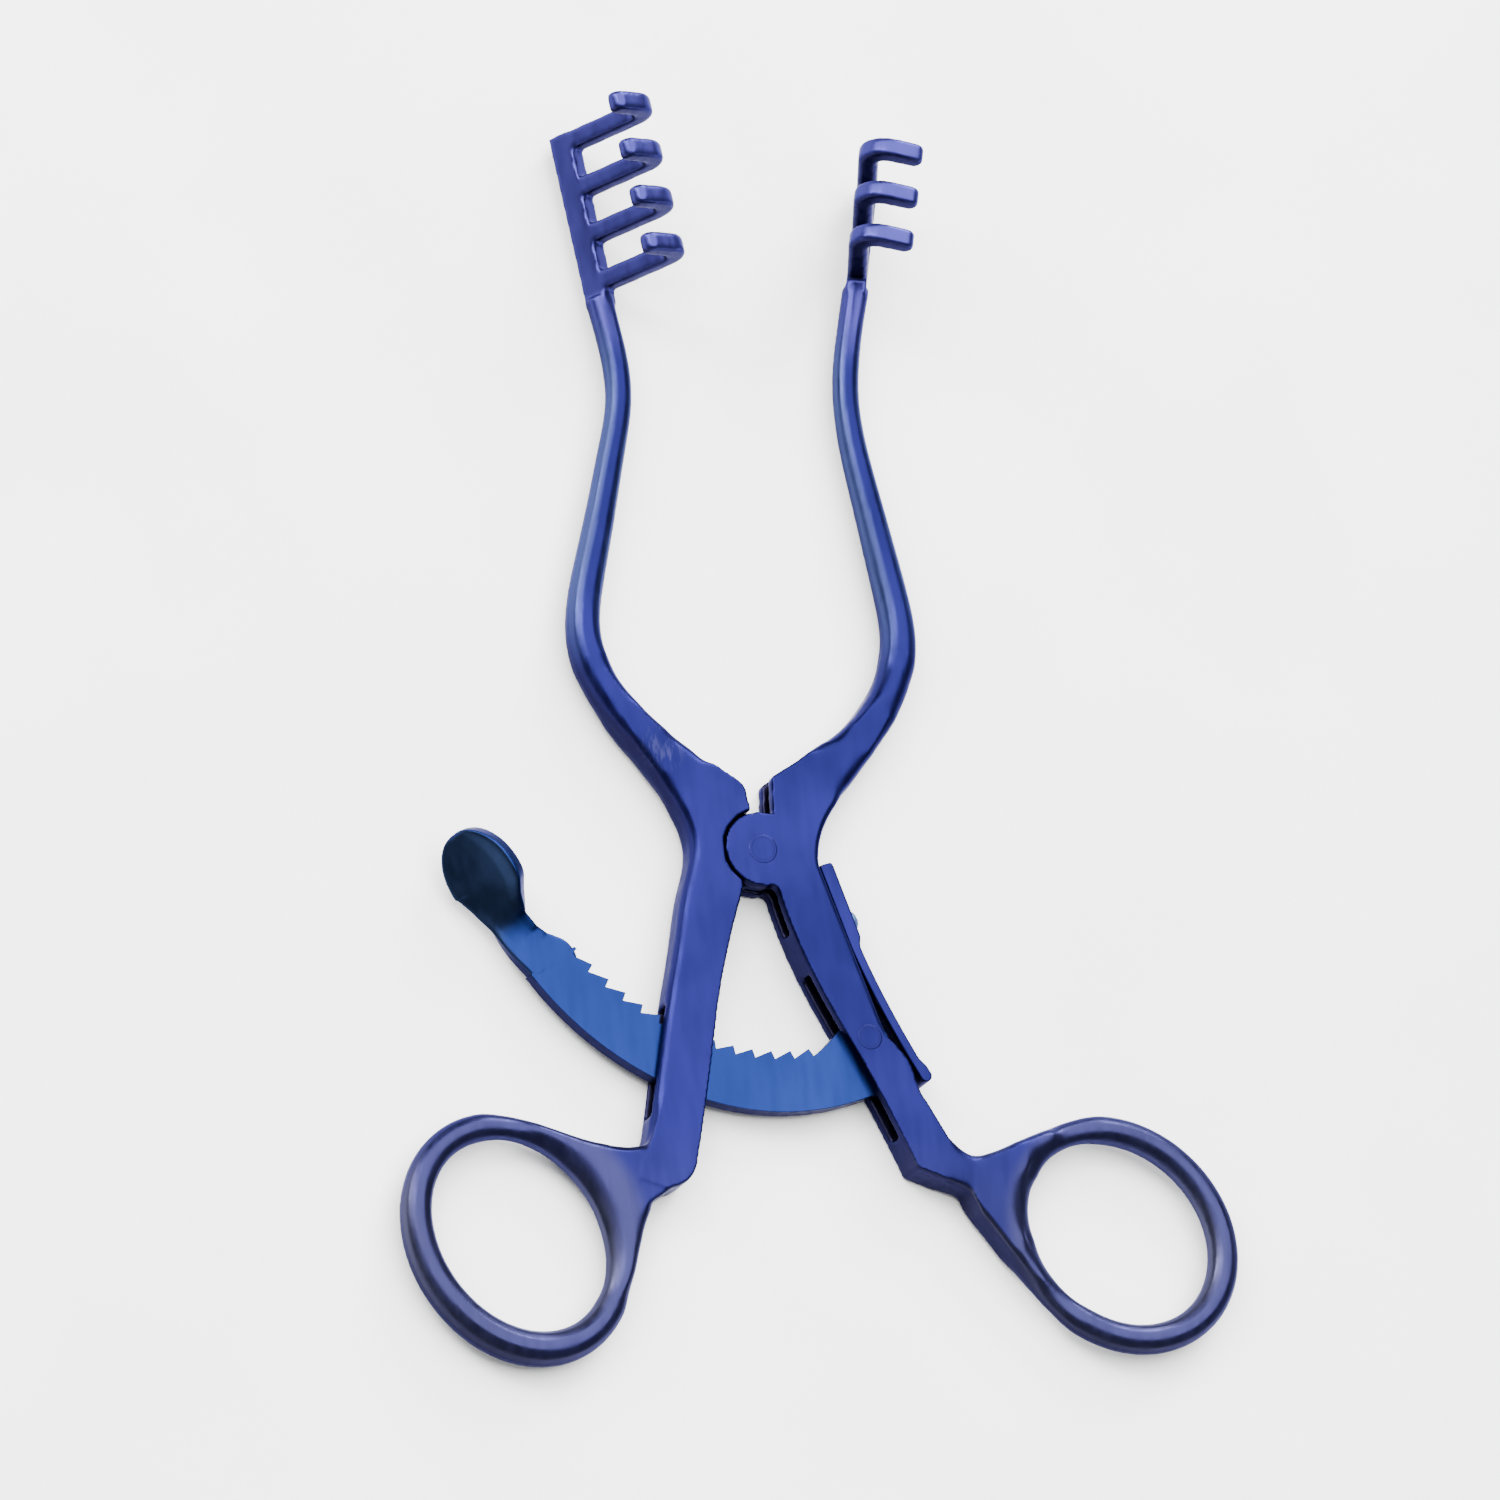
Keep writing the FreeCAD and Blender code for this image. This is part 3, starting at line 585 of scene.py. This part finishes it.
def roundedSection(segments, squareness):
    # cosine and sine of the angle, each to the power two over squareness with its sign kept:
    # a rectangle from -1 to 1 with round corners
    angle = np.linspace(0, 2 * math.pi, segments, endpoint=False) + math.pi / segments
    wave = np.stack([np.cos(angle), np.sin(angle)])
    return np.sign(wave) * np.abs(wave) ** (2 / squareness)


# Pins, riveted over and ground flush with both faces of the right arm

flushPins = {
    "lock_pin": {"copy": "lockPinGround", "place": (0.0, 0.0), "radius": 1.4},
    "ratchet_pin": {"copy": "ratchetPinGround", "place": (10.96, -23.64), "radius": 1.15},
}
pinShape = {
    "spread": 0.42,
    "proud": 0.004,
    "rimProud": 0.0024,
    "headEdge": 0.03,
    "headDepth": 0.12,
    "core": 0.02,
    "segments": 72,
}


def makeFlushPin(nodeName, pin):
    # a profile turned about the pin's axis: the shank, and a wide thin head at each face
    wide = pin["radius"] + pinShape["spread"]
    proud, depth = pinShape["proud"], pinShape["headDepth"]
    low = np.array([(pinShape["core"], -proud), (wide / 2, -proud), (wide, -pinShape["rimProud"]),
                    (wide, pinShape["headEdge"]), (pin["radius"], depth)])
    high = low[::-1] * (1, -1) + (0, armThickness)
    profile = np.concatenate([low, high])
    angle = np.linspace(0, 2 * math.pi, pinShape["segments"], endpoint=False)[None, :]
    radius, height = profile[:, :1], profile[:, 1:]
    points = np.stack([pin["place"][0] + radius * np.cos(angle),
                       pin["place"][1] + radius * np.sin(angle),
                       height + 0 * angle], axis=-1)
    piece = gridPiece(pin["copy"], points * mm, armMetal, "right_arm")
    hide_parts(nodeName)


for nodeName, pin in flushPins.items():
    makeFlushPin(nodeName, pin)
print("pins made")


# Leaf spring, bending between the right arm and the tail of the bar

leafSpring = {
    "wallStart": (7.5, -2.31),
    "wallEnd": (13.5, -24.0),
    "lead": 0.5,
    "length": 28.2,
    "seat": 9.5,
    "bendStart": 10.5,
    "gap": 2.4,
    "gapPower": 1.6,
    "headThickness": 1.9,
    "thickness": 1.3,
    "tipThickness": 1.7,
    "tipBead": 2.4,
    "stepLength": 1.6,
    "headRound": 0.6,
    "headTaper": (0.28, 0.06),
    "leastEnd": (0.02, 0.002),
    "standOff": 0.03,
    "width": 3.4,
    "squareness": 7.0,
    "segments": 36,
    "rows": (7, 90, 16),
    "blade": (0.8, 27.2),
    "tipRows": 27.4,
}


def springRows(spring):
    # close rows over the rounded head and the tip, even ones along the blade
    end = spring["length"] + spring["tipThickness"] / 2
    spans = ((0, spring["headRound"]), spring["blade"], (spring["tipRows"], end))
    return np.concatenate([np.linspace(low, high, count)
                           for (low, high), count in zip(spans, spring["rows"])])


def makeLeafSpring(spring):
    # a rounded rectangle is carried along the wall of the shank: at distance d it stands off
    # by gap times the free share to a power, and its thickness steps down past the seat and
    # up again to the bead at its tip. Head and tip close as quarter circles
    start = np.array(spring["wallStart"])
    along = unit(np.array(spring["wallEnd"]) - start)
    out = np.array([-along[1], along[0]])
    start = start - along * spring["lead"]
    distance = springRows(spring)
    length, seat = spring["length"], spring["seat"]
    thin, tipThick = spring["thickness"], spring["tipThickness"]
    free = np.clip((distance - seat) / (length - seat), 0, 1)
    gap = spring["gap"] * free ** spring["gapPower"]
    past = smoothStep((distance - seat) / spring["stepLength"])
    bead = smoothStep((distance - length + spring["tipBead"]) / spring["stepLength"])
    thick = spring["headThickness"] + (thin - spring["headThickness"]) * past
    thick = thick + (tipThick - thin) * bead
    leastHead, leastTip = spring["leastEnd"]
    nose = np.clip((distance - length) / (tipThick / 2), 0, 1)
    head = 1 - np.clip(distance / spring["headRound"], 0, 1)
    missing = 1 - np.sqrt(np.clip(1 - head ** 2, leastHead, 1))
    sideTaper, upTaper = spring["headTaper"]
    shrink = np.sqrt(np.clip(1 - nose ** 2, leastTip, 1)) * (1 - sideTaper * missing)
    middle = gap + thick / 2 + spring["standOff"]
    across, upward = roundedSection(spring["segments"], spring["squareness"])
    offset = middle[:, None] + (thick * shrink / 2)[:, None] * across
    plane = start + along * distance[:, None, None] + out * offset[..., None]
    height = midHeight + spring["width"] / 2 * upward * (1 - upTaper * missing[:, None])
    points = np.concatenate([plane, height[..., None]], axis=-1)
    piece = gridPiece("leafSpringBent", points * mm, springMetal, None)
    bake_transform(piece)
    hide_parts("leaf_spring")


makeLeafSpring(leafSpring)
print("leaf spring made")


# Thumb paddle, one surface with the twisted neck that carries it

thumbPaddle = {
    "heading": (-0.4907, 0.8713),
    "halfLength": 6.2,
    "squareness": 9.0,
    "endSharpness": 18,
    "lift": 0.3,
    "segments": 96,
    "neckRows": 140,
    "padRows": 64,
    "window": 17,
    "fixedRows": 3,
    # x, y, z, half width, thickness, turn in degrees and dish, from inside the strip to the pad
    "stations": (
        (-26.80, -15.27, 2.60, 2.80, 1.80, 0.0, 0.0),
        (-27.36, -14.09, 2.60, 3.10, 2.03, 0.0, 0.0),
        (-27.58, -13.58, 2.60, 3.36, 2.03, 0.0, 0.0),
        (-29.62, -12.07, 2.62, 2.67, 2.04, 0.0, 0.0),
        (-30.98, -10.70, 2.70, 2.40, 2.05, 8.0, 0.0),
        (-32.50, -8.50, 3.05, 2.30, 2.08, 26.0, 0.10),
        (-33.75, -6.20, 3.80, 3.30, 2.25, 46.0, 0.35),
        (-34.90, -4.15, 4.55, 4.60, 2.40, 52.0, 0.60),
        (-35.35, -3.35, 4.55, 4.60, 2.40, 52.0, 0.60),
    ),
}


def neckSections(paddle, table):
    # the stations' values run straight from one to the next, and are then averaged over a
    # short window, so that corners melt. Past its last row the neck goes on in a straight line
    count = paddle["neckRows"]
    step = np.linalg.norm(np.diff(table[:, :3], axis=0), axis=1)
    place = np.concatenate([[0], np.cumsum(step)])
    even = np.linspace(0, place[-1], count)
    spans = np.stack([np.interp(even, place, column) for column in table.T], axis=-1)
    window = np.hanning(paddle["window"])[1:-1, None]
    window = window / window.sum()
    row = np.arange(count)[:, None]
    wanted = row + np.arange(len(window)) - len(window) // 2
    near = np.clip(wanted, 0, count - 1)
    beyond = np.maximum(wanted - near, 0)[..., None]
    averaged = ((spans[near] + beyond * (spans[-1] - spans[-2])) * window).sum(axis=1)
    return np.where(row > paddle["fixedRows"], averaged, spans)[:-1]


def padSections(paddle, table, heading):
    # past the last station, the pad's middle, the half width falls as an ellipse, and the
    # thickness only close to the rim
    reach = np.sin(np.linspace(0, math.pi / 2, paddle["padRows"]))
    end = np.repeat(table[-1:], len(reach), axis=0)
    end[:, :3] += heading * (reach * paddle["halfLength"])[:, None]
    end[:, 3] *= np.sqrt(1 - reach ** 2)
    end[:, 4] *= np.sqrt(np.clip(1 - reach ** paddle["endSharpness"], 0, 1))
    return end


def makeThumbPaddle(paddle):
    # a flat section is carried through neck and pad. It turns over on its way, and its faces
    # sink by dish times one minus u squared, with u from -1 to 1 across the section
    table = np.array(paddle["stations"])
    heading = np.array([*paddle["heading"], 0.0])
    neck = neckSections(paddle, table)
    rows = np.concatenate([neck, padSections(paddle, table, heading)])
    path, half, thick = rows[:, :3], rows[:, 3:4], rows[:, 4:5]
    turn, dish = -np.radians(rows[:, 5:6]), rows[:, 6:7]
    along = np.gradient(path, axis=0)
    along[len(neck):] = heading
    along = unit(along)
    side = unit(np.cross(np.array([0.0, 0.0, 1.0]), along))
    up = np.cross(along, side)
    across = side * np.cos(turn) + up * np.sin(turn)
    upward = up * np.cos(turn) - side * np.sin(turn)
    u, v = roundedSection(paddle["segments"], paddle["squareness"])
    sink = dish * (1 - u ** 2) * (half / table[-1, 3]) ** 2
    high = v * (thick / 2) - sink + paddle["lift"] * dish
    points = path[:, None] + across[:, None] * (u * half)[..., None] + (
        upward[:, None] * high[..., None])
    gridPiece("thumbPaddleDished", points * mm, paddleMetal, "ratchet_bar")


makeThumbPaddle(thumbPaddle)
print("thumb paddle made")


# Camera, floor and soft light

cameraSettings = {
    "place": (-0.32427, -0.26117, 0.80319),
    "right": (0.933466, -0.108006, 0.342020),
    "up": (-0.008197, 0.946911, 0.321394),
    "back": (-0.358575, -0.302813, 0.883022),
    "lens": 180.0,
    "sensor": 36.0,
    "nearest": 0.01,
}
studio = {
    "floorColour": (0.98, 0.98, 0.975),
    "floorShade": (0.92, 0.92, 0.92),
    "floorGrain": (30.0, 2.0),
    "floorStep": (0.3, 0.7),
    "floorRoughness": 0.85,
    "floorHalf": 3.0,
    "floorHeight": -0.0002,
    "skyColour": (0.95, 0.97, 1.0, 1.0),
    "skyStrength": 0.58,
}
studioLights = {
    "overheadLight": {"place": (0.10, 0.50, 1.6), "target": (0, 0.03, 0), "size": (2.4, 2.0),
                      "power": 140.0},
    "keyLight": {"place": (-0.78, 0.62, 0.70), "target": (0, 0, 0), "size": (0.40, 0.9),
                 "power": 26.0},
    "rimLight": {"place": (0.55, 0.85, 0.50), "target": (0.02, -0.03, 0), "size": (0.5, 0.35),
                 "power": 20.0},
}


def makeCamera(settings):
    camera = bpy.data.cameras.new("photoCamera")
    camera.lens = settings["lens"]
    camera.sensor_width = settings["sensor"]
    camera.clip_start = settings["nearest"]
    holder = addObject("photoCamera", camera)
    turn = Matrix([settings[key] for key in ("right", "up", "back")]).transposed().to_4x4()
    holder.matrix_world = Matrix.Translation(settings["place"]) @ turn
    bpy.context.scene.camera = holder


def makeFloor():
    mesh = bpy.data.meshes.new("studioFloor")
    half, height = studio["floorHalf"], studio["floorHeight"]
    mesh.from_pydata([(-half, -half, height), (half, -half, height), (half, half, height),
                      (-half, half, height)], [], [(0, 1, 2, 3)])
    material, tree, shader, coords = newMaterial("paleFloor")
    share = ramp(tree, noise(tree, coords, *studio["floorGrain"]), studio["floorStep"])
    colour = blendColour(tree, share, studio["floorColour"], studio["floorShade"])
    tree.links.new(colour, shader.inputs["Base Color"])
    shader.inputs["Roughness"].default_value = studio["floorRoughness"]
    mesh.materials.append(material)
    addObject("studioFloor", mesh)


def makeLight(name, settings):
    light = bpy.data.lights.new(name, "AREA")
    light.shape = "RECTANGLE"
    light.size, light.size_y = settings["size"]
    light.energy = settings["power"]
    holder = addObject(name, light)
    holder.location = settings["place"]
    direction = Vector(settings["target"]) - Vector(settings["place"])
    holder.rotation_euler = direction.to_track_quat("-Z", "Y").to_euler()


def makeSky():
    world = bpy.data.worlds.new("softStudio")
    bpy.context.scene.world = world
    world.use_nodes = True
    background = world.node_tree.nodes["Background"]
    background.inputs["Color"].default_value = studio["skyColour"]
    background.inputs["Strength"].default_value = studio["skyStrength"]


makeCamera(cameraSettings)
makeFloor()
makeSky()
for name, settings in studioLights.items():
    makeLight(name, settings)
print("camera, floor and lights set")
